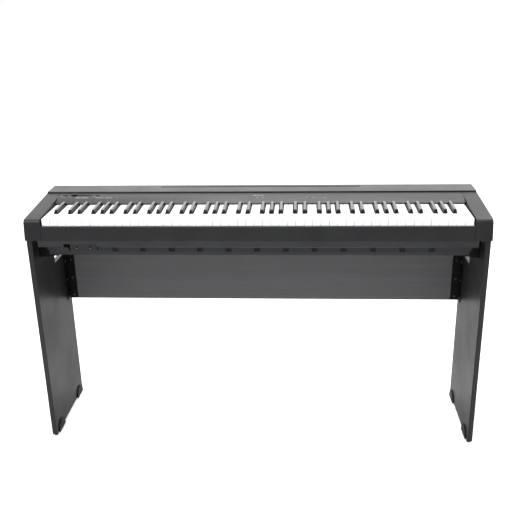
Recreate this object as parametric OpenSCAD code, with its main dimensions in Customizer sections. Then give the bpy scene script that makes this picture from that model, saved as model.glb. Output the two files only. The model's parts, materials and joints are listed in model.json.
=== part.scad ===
// A digital piano with 88 weighted keys on a stand of two end boards and a back board.
// X points to the player's right, Y away from the player and Z up.
// The origin is on the floor, below the middle of the piano.

/* [Keyboard] */
// Width that one white key takes up, with its share of the gaps
key_pitch = 23.5; // [21:0.5:26]
// Air between two neighbouring keys
key_gap = 0.8; // [0.6:0.1:1.4]
// Gap between the keyboard and the end block beside it
key_side = 3.5; // [2:0.5:5]
// Length of the wide front part of a white key
head_l = 50; // [40:1:60]
// Length of the white keys in front of the control panel
keys_l = 142; // [130:1:150]
// Distance from the front of a key to its pivot
key_reach = 222; // [210:1:235]
// Height of a key's hollow body
key_h = 22; // [20:1:24]
// Height of the skirt that closes the front of a white key
skirt_h = 32; // [30:1:36]
// Width that one black key takes up between the white ones
black_slot = 13.7; // [13:0.1:14.5]
// Width of a black key
black_w = 10.5; // [9:0.1:11.5]
// Height of the black keys above the white ones
black_h = 11; // [9:1:13]
// How far the front of a key goes down
key_dip = 10; // [8:0.5:11]
// Wall of the hollow keys
key_wall = 2; // [1.6:0.1:2.4]

/* [Hammer action] */
// Distance from the front of the keys to the hammers' pivot
hammer_in = 107; // [100:1:112]
// Depth of the hammers' pivot below the underside of the keys
hammer_drop = 41; // [38:1:44]
// Distance from a hammer's pivot to the place where its key presses it
hammer_arm = 40; // [36:1:46]
// Length of a hammer behind its pivot
hammer_tail = 120; // [100:1:124]
// Thickness of one hammer
hammer_w = 5; // [3:0.5:7]
// Radius of the two steel rods that the keys and the hammers turn on
rod_r = 2.5; // [2:0.1:3]
// Running clearance of a bore around its rod
rod_fit = 0.05; // [0.02:0.01:0.1]
// Thickness of the ribs of the key frame
rib_t = 2.2; // [1.6:0.1:2.4]

/* [Piano case] */
// Depth of the piano, front to back
case_d = 295; // [288:1:360]
// Height of the piano from the underside of its feet to its top
case_h = 154; // [150:1:190]
// Width of the end block beside the keys
cheek_w = 48.5; // [48:0.5:70]
// How far the outer face of an end block leans inwards at its top
lean = 4; // [1:0.5:6]
// Wall of the moulded case parts
shell_t = 3; // [2.5:0.1:3.5]
// Height of the rubber feet
foot_h = 4; // [3:0.5:6]
// Depth of the raised cover along the back
ridge_d = 73.5; // [66:0.5:80]
// Thickness of the raised cover
ridge_t = 4; // [3:0.5:6]
// Height of the top of the white keys below the top of the piano
key_sink = 22; // [20:1:24]
// Height of the white key fronts that show above the key slip
key_show = 19; // [16:1:20]
// Height of the key slip
slip_h = 43; // [36:1:46]
// Height of the lip of the lower case, below the key slip
lip_h = 20.5; // [16:0.5:23]
// Distance from the front to the set-back wall of the lower case
wall_in = 57.5; // [50:0.5:60]
// Width by which each end block overhangs the lower case
overhang = 37; // [28:0.5:37.5]
// Radius of the top front edge of the end blocks
cheek_r = 12; // [4:1:14]
// Width of a vent in the set-back wall
vent_w = 17; // [10:1:24]
// Spacing of those vents
vent_pitch = 84; // [76:1:92]

/* [Controls] */
// Width of the power button
power_w = 14; // [8:0.5:14]
// Width of the function button
function_w = 11; // [8:0.5:14]
// Depth of both buttons, front to back
button_d = 6; // [5:0.5:8]
// How far a button goes in
button_travel = 2; // [1:0.5:2]
// Length of the slot of the volume slider
slider_l = 66; // [56:1:70]
// Width of that slot
slider_w = 3.5; // [3:0.5:5]
// Distance of the slider's knob from the left end of its slot
knob_in = 13; // [10:1:40]
// Length of the music rest slot in the cover
rest_l = 624; // [500:1:700]
// Width of the music rest slot
rest_w = 7; // [6:0.5:9]
// Depth of the pocket under the music rest slot
rest_d = 26; // [20:1:30]
// Radius of the headphone and pedal sockets
jack_r = 3.3; // [3.2:0.1:3.6]
// Radius of the power inlet
dc_r = 2.8; // [2.4:0.1:3.2]

/* [Stand] */
// Height at which the stand carries the feet of the piano
stand_h = 596; // [480:1:740]
// Thickness of the boards
board_t = 15; // [12:1:19]
// Distance of the end boards in from the ends of the piano
board_in = 3; // [2:0.5:6]
// Height of the gliders under the end boards
glide_h = 8; // [5:1:12]
// Depth of the low rear part of the end boards
step_d = 119; // [100:1:130]
// Height of the open gap between the low rear part and the piano
step_gap = 69; // [50:1:90]
// Height of the back board
back_h = 167; // [130:1:220]
// Width of each flange of the corner brackets
flange_w = 28; // [22:1:36]
// Thickness of the steel brackets
steel_t = 2; // [1.5:0.5:3]
// Spacing of the screws up a corner bracket
screw_pitch = 62; // [48:1:66]
// Radius of the screws
screw_r = 2.4; // [2:0.1:3]
// Length of a foot plate along the floor
stay_l = 58; // [46:1:74]
// Height of a foot plate
stay_h = 33; // [24:1:36]
// Thickness of a foot plate
stay_t = 4; // [3:0.5:8]

/* [Hidden] */
$fn = 48;
// Clearance of a screw in its hole, of a button in its hole and of parts that only lie side by side
screw_fit = 0.05;
button_fit = 0.3;
side_fit = 0.3;

// The 88 keys: white key places in an octave, with -1 for a black key
KEYS = 88;
WHITES = 52;
MIDDLE_C = 39;
STEP = [0, -1, 1, -1, 2, 3, -1, 4, -1, 5, -1, 6];
keys_w = WHITES * key_pitch;
octave_w = 7 * key_pitch;
// Widths of the white tails among two and among three black keys
tail_a = (3 * key_pitch - 2 * black_slot) / 3;
tail_b = (4 * key_pitch - 3 * black_slot) / 4;

// The case
overall_w = keys_w + 2 * (key_side + cheek_w);
block_x = keys_w / 2 + key_side;
tray_x = overall_w / 2 - overhang;
front_y = -case_d / 2;
rear_y = case_d / 2;
ridge_y = rear_y - ridge_d;
wall_y = front_y + wall_in;
floor_z = stand_h + foot_h;
top_z = stand_h + case_h;
key_top = top_z - key_sink;
slip_top = key_top - key_show;
seam_z = slip_top - slip_h;
tray_top = seam_z;
lip_z = tray_top - lip_h;
deck_z = top_z - ridge_t;
cheek_front_top = key_top + 1.5;
// The end blocks and the panel between them rise together towards the cover
rise = (deck_z - 0.3 - cheek_front_top) / (ridge_y - 1 - front_y - cheek_r);

// The keys
key_y = front_y + 10.5;
head_y = key_y + head_l;
panel_y = key_y + keys_l;
pivot_y = key_y + key_reach;
key_end_y = pivot_y + 9;
key_low = key_top - key_h;
stick_top = key_top - 4;
pivot_z = (stick_top + key_low) / 2;
black_top = key_top + black_h;
nose_z = key_top + 2;
skirt_t = 3;
stick_y = panel_y + 2;
stick_play = 3.2;

// The hammers
hammer_y = key_y + hammer_in;
hammer_z = key_low - hammer_drop;
press_y = hammer_y - hammer_arm;
pad_z = hammer_z + 12;
press_gap = 0.8;
post_w = 5;
post_d = 6;
mass_l = 30;

// The key frame stands on the floor of the tray
rib_xs = [for (o = [0:7]) octave_x(o + 1)];
end_rib_x = keys_w / 2 - 3;
rail_y0 = key_y + 13;
rail_y1 = head_y - 5;
rail_z = key_low - 12;
felt_t = 2.4;
rest_rail_z = hammer_z - 23;

// The stand
board_x1 = overall_w / 2 - board_in;
board_x0 = board_x1 - board_t;
board_y0 = front_y + 4.5;
board_y1 = rear_y - 0.5;
board_top = seam_z - 1;
step_y = board_y1 - step_d;
step_z = floor_z - step_gap;
back_y = board_y1 - board_t;
back_z = step_z - back_h;
shelf_x = board_x0 - 50;
shelf_z = stand_h - steel_t;
shelf_y0 = wall_y + 13;
shelf_y1 = step_y - 4;
web_y0 = wall_y - 1 - steel_t;
foot_x = shelf_x + 14;
foot_ys = [wall_y + 30, rear_y - 27];
bolt_x = tray_x - 9;
bolt_ys = [wall_y + 56, step_y - 16];
bolt_r = 3;
screw_zs = [for (i = [0:2]) back_z + 14 + i * screw_pitch];
pedal_hole_y = rear_y - 35;
pedal_hole_z = 145;
pedal_hole_r = 2.5;
pedal_hole_l = 10;

// Screws of the case
boss_x = (block_x + tray_x) / 2;
boss_r = 5;
case_screw_r = 2;
boss_ys = [front_y + 22, front_y + 44];
tab_inset = 61;
tab_pitch = (keys_w - 2 * tab_inset) / 5;
tab_xs = [for (i = [0:5]) -keys_w / 2 + tab_inset + i * tab_pitch];
tab_z = seam_z - 10;

// Controls, counted from the left end of the keyboard and from the front of the ridge
power_x = -keys_w / 2 + 15;
slider_x = power_x + 49;
function_x = slider_x + 51;
control_y = ridge_y - 21;
control_z = panel_z(control_y);
cap_h = 2;
stem_h = 5;
knob_x = slider_x - slider_l / 2 + knob_in;
knob_w = 13;
knob_d = 7;

// Sockets
box_x0 = 94 - tray_x;
box_x1 = box_x0 + 78;
box_d = 48;
box_h = 20;
box_top = tray_top - 10;
hook_w = 19;
jack_xs = [box_x0 + 20, box_x1 - 20];
jack_l = 28;
jack_z = box_top - box_h / 2;
socket_r = 6;
pedal_jack_x = -30;
dc_x = -70;
socket_z = floor_z + 30;

speaker_xs = [(rib_xs[0] + rib_xs[1]) / 2, (rib_xs[6] + rib_xs[7]) / 2];
speaker_y = wall_y + 110;
speaker_r = 50;
main_board_x = (rib_xs[3] + rib_xs[4]) / 2;
main_board_w = octave_w - 20;

CASE = "#38393d";
BOARD = "#2b2c2f";
STEEL = "#1d1e20";
IVORY = "#f4f4f1";
EBONY = "#202022";

// ---- shapes used by several pieces ----

// A box between two corners.
module box(low, high) {
    translate(low) cube(high - low);
}

// A profile drawn in Y and Z, run along X.
module along_x(x0, x1) {
    translate([x0, 0, 0]) rotate([90, 0, 90]) linear_extrude(x1 - x0) children();
}

// A round bar or hole along X, along Y and along Z.
module bar_x(x0, x1, y, z, r) {
    translate([x0, y, z]) rotate([0, 90, 0]) cylinder(h = x1 - x0, r = r);
}

module bar_y(x, y0, y1, z, r) {
    translate([x, y0, z]) rotate([-90, 0, 0]) cylinder(h = y1 - y0, r = r);
}

module bar_z(x, y, z0, z1, r) {
    translate([x, y, z0]) cylinder(h = z1 - z0, r = r);
}

// The right-hand piece as drawn, or its mirror image on the left.
module side(s) {
    if (s > 0) children();
    else mirror([1, 0, 0]) children();
}

// What fills a square outer corner at the origin of a radius r, to be cut away.
module corner_waste(r) {
    difference() {
        translate([-1, 0]) square([r + 1, r + 1]);
        translate([r, 0]) circle(r);
    }
}

// Height of the control panel at a distance from the front, in line with the end blocks.
function panel_z(y) = deck_z - 0.5 - (ridge_y - 1 - y) * rise;

// ---- where each key is ----

function octave(n) = floor((n + 9) / 12);
function step(n) = (n + 9) % 12;
function is_white(n) = STEP[step(n)] >= 0;
function octave_x(o) = -keys_w / 2 + 2 * key_pitch + (o - 1) * octave_w;
function slot_w(s) = STEP[s] < 0 ? black_slot : s < 5 ? tail_a : tail_b;
function slot_x(s) = s == 0 ? 0 : slot_x(s - 1) + slot_w(s - 1);
function slot_low(n) = octave_x(octave(n)) + slot_x(step(n));
function slot_high(n) = slot_low(n) + slot_w(step(n));
function slot_mid(n) = (slot_low(n) + slot_high(n)) / 2;
function head_low(n) = octave_x(octave(n)) + STEP[step(n)] * key_pitch;

// The post under a key that presses its hammer.
module press_post(x) {
    box([x - post_w / 2, press_y - post_d / 2, pad_z + press_gap], [x + post_w / 2, press_y + post_d / 2, key_low]);
}

// The two hollows of a key, open below, either side of the stay above the post.
module key_hollow(x0, x1, front, ceiling) {
    box([x0, front, key_low - 1], [x1, press_y - post_d, ceiling]);
    box([x0, press_y + post_d, key_low - 1], [x1, stick_y - key_wall, ceiling]);
}

module white_key(n) {
    x0 = head_low(n) + key_gap / 2;
    x1 = x0 + key_pitch - key_gap;
    tail0 = (n == 0 ? head_low(n) : slot_low(n)) + key_gap / 2;
    tail1 = (n == KEYS - 1 ? head_low(n) + key_pitch : slot_high(n)) - key_gap / 2;
    mid = slot_mid(n);
    stick = slot_w(step(n)) - stick_play;
    difference() {
        union() {
            box([x0, key_y, key_low], [x1, head_y, key_top]);
            box([x0, key_y, key_top - skirt_h], [x1, key_y + skirt_t, key_low]);
            box([tail0, head_y, key_low], [tail1, stick_y, key_top]);
            box([mid - stick / 2, stick_y, key_low], [mid + stick / 2, key_end_y, stick_top]);
            press_post(mid);
        }
        box([x0 + key_wall, key_y + skirt_t, key_low - 1], [x1 - key_wall, head_y - key_wall, key_top - key_wall]);
        key_hollow(tail0 + key_wall, tail1 - key_wall, head_y, key_top - key_wall);
        bar_x(x0, x1, pivot_y, pivot_z, rod_r + rod_fit);
    }
}

module black_key(n) {
    mid = slot_mid(n);
    cap_end = panel_y - 2;
    difference() {
        union() {
            along_x(mid - black_w / 2, mid + black_w / 2)
                polygon([
                    [head_y + 1, key_low], [head_y + 1, key_top + 2], [head_y + 7, black_top],
                    [cap_end, black_top], [cap_end, stick_top], [key_end_y, stick_top], [key_end_y, key_low]
                ]);
            press_post(mid);
        }
        key_hollow(mid - black_w / 2 + key_wall, mid + black_w / 2 - key_wall, head_y + 4, stick_top - key_wall);
        bar_x(mid - black_w, mid + black_w, pivot_y, pivot_z, rod_r + rod_fit);
    }
}

// A hammer: its pad lies under the post of its key, and its weight is at the back.
module hammer(n) {
    mid = slot_mid(n);
    tail_y = hammer_y + hammer_tail;
    color("#55575a")
    difference() {
        along_x(mid - hammer_w / 2, mid + hammer_w / 2)
            polygon([
                [press_y - 6, pad_z], [press_y - 6, pad_z - 8], [hammer_y - 9, hammer_z - 7],
                [hammer_y + 8, hammer_z - 7], [tail_y - mass_l, hammer_z - 5], [tail_y - mass_l, hammer_z - 12],
                [tail_y, hammer_z - 12], [tail_y, hammer_z + 4], [tail_y - mass_l, hammer_z + 4],
                [tail_y - mass_l, hammer_z], [hammer_y + 8, hammer_z + 7], [hammer_y - 9, hammer_z + 8],
                [press_y + 6, pad_z - 4], [press_y + 6, pad_z]
            ]);
        bar_x(mid - hammer_w, mid + hammer_w, hammer_y, hammer_z, rod_r + rod_fit);
    }
}

module white_keys(first, last) {
    color(IVORY) for (n = [first:last]) if (is_white(n)) white_key(n);
}

module black_keys(first, last) {
    color(EBONY) for (n = [first:last]) if (!is_white(n)) black_key(n);
}

module hammers(first, last, white) {
    for (n = [first:last]) if (is_white(n) == white) hammer(n);
}

// ---- stand ----

// An end board: full height in front, cut down behind so that the back stays open.
module end_board() {
    color(BOARD)
    difference() {
        along_x(board_x0, board_x1)
            polygon([
                [board_y0, glide_h], [board_y1, glide_h], [board_y1, step_z],
                [step_y, step_z], [step_y, board_top], [board_y0, board_top]
            ]);
        for (z = screw_zs) bar_x(board_x0 - 1, board_x0 + 12, bracket_screw_y(), z, screw_r + screw_fit);
        for (y = shelf_screw_ys()) bar_x(board_x0 - 1, board_x0 + 12, y, shelf_screw_z(), screw_r + screw_fit);
        bar_x(board_x0 - 1, board_x0 + pedal_hole_l, pedal_hole_y, pedal_hole_z, pedal_hole_r);
    }
}

module side_panel_left() {
    side(-1) end_board();
}

module side_panel_right() {
    side(1) end_board();
}

module back_board() {
    color(BOARD)
    difference() {
        box([-board_x0, back_y, back_z], [board_x0, board_y1, step_z]);
        for (s = [-1, 1])
            for (z = screw_zs)
                bar_y(s * bracket_screw_x(), back_y - 1, back_y + 12, z, screw_r + screw_fit);
    }
}

// Screws through the middle of each free flange of the corner brackets, and through the shelves' legs.
function bracket_screw_y() = back_y - steel_t - (flange_w - steel_t) / 2;
function bracket_screw_x() = board_x0 - steel_t - (flange_w - steel_t) / 2;
function shelf_screw_ys() = [shelf_y0 + 12, (shelf_y0 + shelf_y1) / 2, shelf_y1 - 12];
function shelf_screw_z() = stand_h + 26;

module corner_bracket() {
    difference() {
        union() {
            box([board_x0 - steel_t, back_y - flange_w, back_z + 2], [board_x0, back_y, step_z - 2]);
            box([board_x0 - flange_w, back_y - steel_t, back_z + 2], [board_x0, back_y, step_z - 2]);
        }
        for (z = screw_zs) {
            bar_x(board_x0 - steel_t - 1, board_x0 + 1, bracket_screw_y(), z, screw_r + screw_fit);
            bar_y(bracket_screw_x(), back_y - steel_t - 1, back_y + 1, z, screw_r + screw_fit);
        }
    }
}

module corner_brackets() {
    color(STEEL) for (s = [-1, 1]) side(s) corner_bracket();
}

// A folded steel bracket screwed to the end board: a shelf under the case, a leg and a web in front.
module support_bracket() {
    difference() {
        union() {
            box([shelf_x, shelf_y0, shelf_z], [board_x0, shelf_y1, stand_h]);
            box([board_x0 - steel_t, web_y0, shelf_z], [board_x0, shelf_y1, stand_h + 46]);
            translate([board_x0, web_y0 + steel_t, stand_h])
                rotate([90, 0, 0])
                linear_extrude(steel_t)
                polygon([[0, 1], [0, 38], [-15, 36], [-29, 16], [-29, 1]]);
        }
        for (y = bolt_ys) bar_z(bolt_x, y, shelf_z - 1, stand_h + 1, bolt_r + screw_fit);
        for (y = shelf_screw_ys())
            bar_x(board_x0 - steel_t - 1, board_x0 + 1, y, shelf_screw_z(), screw_r + screw_fit);
    }
}

module support_brackets() {
    color(STEEL) for (s = [-1, 1]) side(s) support_bracket();
}

// A D-shaped plate on the inner face of the end board. It reaches a little below the board.
module stay(y) {
    stay_r = (pow(stay_l / 2, 2) + pow(stay_h, 2)) / (2 * stay_h);
    stay_z = glide_h / 2;
    along_x(board_x0 - stay_t, board_x0)
        intersection() {
            translate([y, stay_z + stay_h - stay_r]) circle(stay_r, $fn = 96);
            translate([y - stay_l, stay_z]) square([2 * stay_l, stay_h]);
        }
}

module stabiliser_feet() {
    color(BOARD)
    for (s = [-1, 1])
        side(s) {
            stay(board_y0 + stay_l / 2 + 18);
            stay(board_y1 - stay_l / 2 - 8);
        }
}

module floor_glides() {
    color("#161617")
    for (s = [-1, 1])
        for (y = [board_y0 + 13, board_y1 - 13])
            translate([s * (board_x0 + board_x1) / 2, y, 0]) {
                cylinder(h = 1.5, r1 = 5.5, r2 = 7);
                translate([0, 0, 1.5]) cylinder(h = glide_h - 1.5, r = 7);
            }
}

// A pan-head screw along X into an end board and along Y into the back board.
module screw_x(y, z) {
    bar_x(board_x0 - steel_t - 2.5, board_x0 - steel_t, y, z, 4.5);
    bar_x(board_x0 - steel_t, board_x0 + 11, y, z, screw_r);
}

module screw_y(x, z) {
    bar_y(x, back_y - steel_t - 2.5, back_y - steel_t, z, 4.5);
    bar_y(x, back_y - steel_t, back_y + 11, z, screw_r);
}

module bracket_screws() {
    color("#8b8d90")
    for (s = [-1, 1])
        side(s) {
            for (z = screw_zs) {
                screw_x(bracket_screw_y(), z);
                screw_y(bracket_screw_x(), z);
            }
            for (y = shelf_screw_ys()) screw_x(y, shelf_screw_z());
        }
}

// Hand bolts that hold the case down on the shelves.
module case_bolts() {
    color("#161617")
    for (s = [-1, 1])
        for (y = bolt_ys) {
            bar_z(s * bolt_x, y, shelf_z, floor_z + shell_t + 9, bolt_r);
            bar_z(s * bolt_x, y, shelf_z - 7, shelf_z, 9);
        }
}

// ---- piano case ----

// The tray: a shallow lip in front, then a set-back wall and a deep part that holds the action.
module tray_profile(t) {
    polygon([
        [front_y + t, tray_top + t], [front_y + t, lip_z + t + 3], [front_y + 3 + t / 2, lip_z + t],
        [wall_y + t, lip_z + t], [wall_y + t, floor_z + 10 + t / 2], [wall_y + 6 + t / 2, floor_z + t],
        [rear_y - 5 - t / 2, floor_z + t], [rear_y - t, floor_z + 5 + t / 2], [rear_y - t, tray_top + t]
    ]);
}

vent_xs = [for (i = [-5:6]) 46 + (i - 0.5) * vent_pitch];

module lower_case() {
    color(CASE)
    difference() {
        union() {
            difference() {
                intersection() {
                    along_x(-tray_x, tray_x) tray_profile(0);
                    box([-tray_x, front_y, floor_z], [tray_x, rear_y, tray_top]);
                }
                along_x(shell_t - tray_x, tray_x - shell_t) tray_profile(shell_t);
            }
            for (s = [-1, 1]) {
                for (y = boss_ys) bar_z(s * boss_x, y, lip_z + shell_t / 2, tray_top, boss_r);
                for (y = bolt_ys) bar_z(s * bolt_x, y, floor_z + shell_t / 2, floor_z + shell_t + 10, 7);
            }
        }
        for (s = [-1, 1]) {
            for (y = boss_ys) bar_z(s * boss_x, y, lip_z - 1, tray_top + 1, case_screw_r + screw_fit);
            for (y = bolt_ys) bar_z(s * bolt_x, y, floor_z - 1, floor_z + shell_t + 10.5, bolt_r + screw_fit);
        }
        for (x = vent_xs) box([x - vent_w / 2, wall_y - 1, floor_z + 13.5], [x + vent_w / 2, wall_y + shell_t + 1, lip_z - 8]);
        for (x = speaker_xs)
            for (i = [-5:5])
                box([x + 7 * i - 1.5, speaker_y - 34, floor_z - 1], [x + 7 * i + 1.5, speaker_y + 34, floor_z + shell_t + 1]);
        for (x = tab_xs) {
            bar_y(x, rear_y - shell_t - 1, rear_y + 1, tab_z, case_screw_r + screw_fit);
            bar_y(x, rear_y - 1.5, rear_y + 1, tab_z, 3.6);
        }
        for (x = [dc_x, pedal_jack_x]) bar_y(x, rear_y - shell_t - 1, rear_y + 1, socket_z, socket_r + screw_fit);
        box([box_x0 - hook_w, front_y - 1, lip_z - 1], [box_x1 + side_fit, front_y + box_d + side_fit, box_top]);
    }
}

// What lies between the inner face of an end block and its leaning outer face, less a wall of t.
module between_faces(t) {
    fall = lean / (top_z - seam_z);
    translate([0, rear_y + 1, 0])
        rotate([90, 0, 0])
        linear_extrude(case_d + 2)
        polygon([
            [block_x + t, seam_z - 1], [overall_w / 2 - t + fall, seam_z - 1],
            [overall_w / 2 - t - lean, top_z], [block_x + t, top_z]
        ]);
}

// The end block beside the keys: a hollow moulding with a rounded top front edge.
module end_block() {
    difference() {
        union() {
            difference() {
                intersection() {
                    between_faces(0);
                    along_x(block_x, overall_w / 2)
                        difference() {
                            polygon([
                                [front_y, seam_z], [front_y, cheek_front_top], [front_y + cheek_r, cheek_front_top],
                                [ridge_y - 1, deck_z - 0.3], [ridge_y - 1, deck_z], [rear_y, deck_z], [rear_y, seam_z]
                            ]);
                            translate([front_y, cheek_front_top - cheek_r]) corner_waste(cheek_r);
                        }
                }
                intersection() {
                    between_faces(shell_t);
                    along_x(block_x, overall_w / 2)
                        polygon([
                            [front_y + shell_t, seam_z - 1], [front_y + shell_t, cheek_front_top - cheek_r],
                            [front_y + cheek_r, cheek_front_top - shell_t], [ridge_y - 1, deck_z - 0.3 - shell_t],
                            [rear_y - shell_t, deck_z - shell_t], [rear_y - shell_t, seam_z - 1]
                        ]);
                }
            }
            for (y = boss_ys) bar_z(boss_x, y, seam_z, cheek_front_top + 0.5, boss_r);
        }
        for (y = boss_ys) bar_z(boss_x, y, seam_z - 1, seam_z + 20, case_screw_r + screw_fit);
    }
}

module end_block_left() {
    color(CASE) side(-1) end_block();
}

module end_block_right() {
    color(CASE) side(1) end_block();
}

// The rail in front of the keys: thick at its top edge, with a flange along its foot.
module key_slip() {
    slip_x = block_x - side_fit;
    color(CASE)
    along_x(-slip_x, slip_x)
        difference() {
            polygon([
                [front_y, seam_z], [front_y, slip_top], [front_y + 7, slip_top], [front_y + 7, slip_top - 9],
                [front_y + 4, slip_top - 12], [front_y + 4, seam_z + shell_t], [rail_y0 - 2, seam_z + shell_t],
                [rail_y0 - 2, seam_z]
            ]);
            translate([front_y, slip_top - 2]) corner_waste(2);
        }
}

// The panel between the cover and the keys, with the holes of its controls.
module control_panel() {
    panel_x = block_x - side_fit;
    bend_y = ridge_y - 45;
    lug_y = ridge_y - 1 - shell_t;
    lug_z = key_top + 4;
    color(CASE)
    difference() {
        along_x(-panel_x, panel_x)
            polygon([
                [ridge_y - 1, panel_z(ridge_y - 1)], [bend_y, panel_z(bend_y)], [panel_y, nose_z + 2],
                [panel_y, nose_z], [panel_y + shell_t, nose_z], [bend_y + 1, panel_z(bend_y) - shell_t],
                [lug_y, panel_z(lug_y) - shell_t], [lug_y, lug_z], [ridge_y - 1, lug_z]
            ]);
        button_hole(power_x, power_w);
        button_hole(function_x, function_w);
        box([slider_x - slider_l / 2, control_y - slider_w / 2, control_z - 6],
            [slider_x + slider_l / 2, control_y + slider_w / 2, top_z]);
    }
}

module button_hole(x, w) {
    box([x - w / 2 - button_fit, control_y - button_d / 2 - button_fit, control_z - 8],
        [x + w / 2 + button_fit, control_y + button_d / 2 + button_fit, top_z]);
}

// A push button: its cap stands above the panel and its stem goes down to the switch.
module push_button(x, w) {
    box([x - w / 2, control_y - button_d / 2, control_z - stem_h], [x + w / 2, control_y + button_d / 2, control_z + cap_h]);
    box([x - 1.5, control_y - 1.5, stick_top + 6 + button_travel], [x + 1.5, control_y + 1.5, control_z - stem_h]);
}

module power_button() {
    color("#2a2a2d") push_button(power_x, power_w);
}

module function_button() {
    color("#2a2a2d") push_button(function_x, function_w);
}

// The knob of the volume slider, on a stem that passes through the slot.
module volume_knob() {
    stem_d = slider_w - 2 * button_fit;
    color("#2a2a2d") {
        box([knob_x - knob_w / 2, control_y - knob_d / 2, control_z + 0.7],
            [knob_x + knob_w / 2, control_y + knob_d / 2, control_z + 4.7]);
        box([knob_x - 3, control_y - stem_d / 2, control_z - 7], [knob_x + 3, control_y + stem_d / 2, control_z + 0.7]);
    }
}

rest_x = 2;
rest_y = rear_y - 20;

// The raised cover along the back, with the pocket that takes the foot of a music rest.
module rear_cover() {
    plate_x = overall_w / 2 - lean - 0.5;
    back_x = block_x - side_fit;
    color(CASE)
    difference() {
        union() {
            difference() {
                box([-plate_x, ridge_y, deck_z], [plate_x, rear_y, top_z]);
                along_x(-overall_w, overall_w) translate([ridge_y, top_z - 2]) corner_waste(2);
            }
            box([-back_x, rear_y - shell_t, seam_z], [back_x, rear_y, deck_z]);
            box([rest_x - rest_l / 2 - 2, rest_y - rest_w / 2 - 2, deck_z - rest_d - 2],
                [rest_x + rest_l / 2 + 2, rest_y + rest_w / 2 + 2, deck_z]);
            for (x = tab_xs)
                box([x - 8, rear_y - 2 * shell_t, tab_z - 8], [x + 8, rear_y - shell_t, seam_z + 6]);
        }
        box([rest_x - rest_l / 2, rest_y - rest_w / 2, deck_z - rest_d], [rest_x + rest_l / 2, rest_y + rest_w / 2, top_z + 1]);
        for (x = tab_xs) bar_y(x, rear_y - 3 * shell_t, rear_y - shell_t + 0.5, tab_z, case_screw_r + screw_fit);
    }
}

module case_feet() {
    color("#161617")
    for (s = [-1, 1])
        for (y = foot_ys)
            bar_z(s * foot_x, y, stand_h, floor_z, 12);
}

// Screws that hold the end blocks to the tray, and the cover to the back of the tray.
module case_screws() {
    color("#8b8d90") {
        for (s = [-1, 1])
            for (y = boss_ys) {
                bar_z(s * boss_x, y, lip_z - 2, lip_z, 3.5);
                bar_z(s * boss_x, y, lip_z, seam_z + 18, case_screw_r);
            }
        for (x = tab_xs) {
            bar_y(x, rear_y - 2 * shell_t - 1, rear_y - 1.5, tab_z, case_screw_r);
            bar_y(x, rear_y - 1.5, rear_y, tab_z, 3.5);
        }
    }
}

// The box under the left front edge that holds the two headphone sockets.
module headphone_box() {
    color("#2c2d30")
    difference() {
        box([box_x0, front_y, box_top - box_h], [box_x1, front_y + box_d, box_top]);
        for (x = jack_xs) bar_y(x, front_y - 1, front_y + jack_l, jack_z, jack_r);
    }
}

// The pedal socket and the power inlet in the back of the tray.
module rear_sockets() {
    color("#161617")
    for (socket = [[dc_x, dc_r], [pedal_jack_x, jack_r]])
        difference() {
            union() {
                bar_y(socket[0], rear_y - 16, rear_y, socket_z, socket_r);
                box([socket[0] - 8, rear_y - 30, socket_z - 8], [socket[0] + 8, rear_y - 15, socket_z + 8]);
            }
            bar_y(socket[0], rear_y - 24, rear_y + 1, socket_z, socket[1]);
        }
}

// ---- inside the case ----

// A rib of the key frame. It stands on the tray between two hammers and holds both rods.
module rib(x) {
    floor_in = floor_z + shell_t;
    along_x(x - rib_t / 2, x + rib_t / 2)
        polygon([
            [rail_y0, lip_z + shell_t], [rail_y0, rail_z], [stick_y + 4, rail_z],
            [pivot_y - 12, stick_top], [pivot_y + 9, stick_top], [pivot_y + 9, floor_in],
            [wall_y + 12, floor_in], [wall_y + 5, floor_in + 9], [wall_y + 5, lip_z + shell_t]
        ]);
}

module key_frame() {
    color("#6d6f72")
    difference() {
        union() {
            for (x = rib_xs) rib(x);
            for (s = [-1, 1]) rib(s * end_rib_x);
            box([-end_rib_x, rail_y0, rail_z - 7], [end_rib_x, rail_y1, rail_z]);
            box([-end_rib_x, pivot_y - 27, rest_rail_z], [end_rib_x, pivot_y + 7, rest_rail_z + 6]);
        }
        bar_x(-keys_w, keys_w, pivot_y, pivot_z, rod_r + rod_fit);
        bar_x(-keys_w, keys_w, hammer_y, hammer_z, rod_r + rod_fit);
    }
}

module pivot_rods() {
    rod_x = keys_w / 2 - 1.5;
    color("silver") {
        bar_x(-rod_x, rod_x, pivot_y, pivot_z, rod_r);
        bar_x(-rod_x, rod_x, hammer_y, hammer_z, rod_r);
    }
}

// Felt strips: under the fronts of the keys, under the tails of the hammers and under the panel's edge.
module key_felts() {
    felt_x = keys_w / 2 - 6;
    color("#7c2326") {
        box([-felt_x, rail_y0 + 4, rail_z], [felt_x, rail_y1 - 4, rail_z + felt_t]);
        difference() {
            box([-felt_x, pivot_y - 24, rest_rail_z + 6], [felt_x, pivot_y + 4, rest_rail_z + 10]);
            for (x = rib_xs)
                box([x - rib_t / 2 - side_fit, pivot_y - 25, rest_rail_z], [x + rib_t / 2 + side_fit, pivot_y + 5, hammer_z]);
        }
        box([-felt_x, panel_y, key_top + 0.6], [felt_x, panel_y + shell_t, nose_z]);
    }
}

// The circuit board with the key contacts lies on the ribs, under all the keys.
module contact_board() {
    board_x = keys_w / 2 - 4;
    color("#2f5a3a") box([-board_x, press_y + 10, rail_z], [board_x, press_y + 34, rail_z + 1.6]);
}

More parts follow.
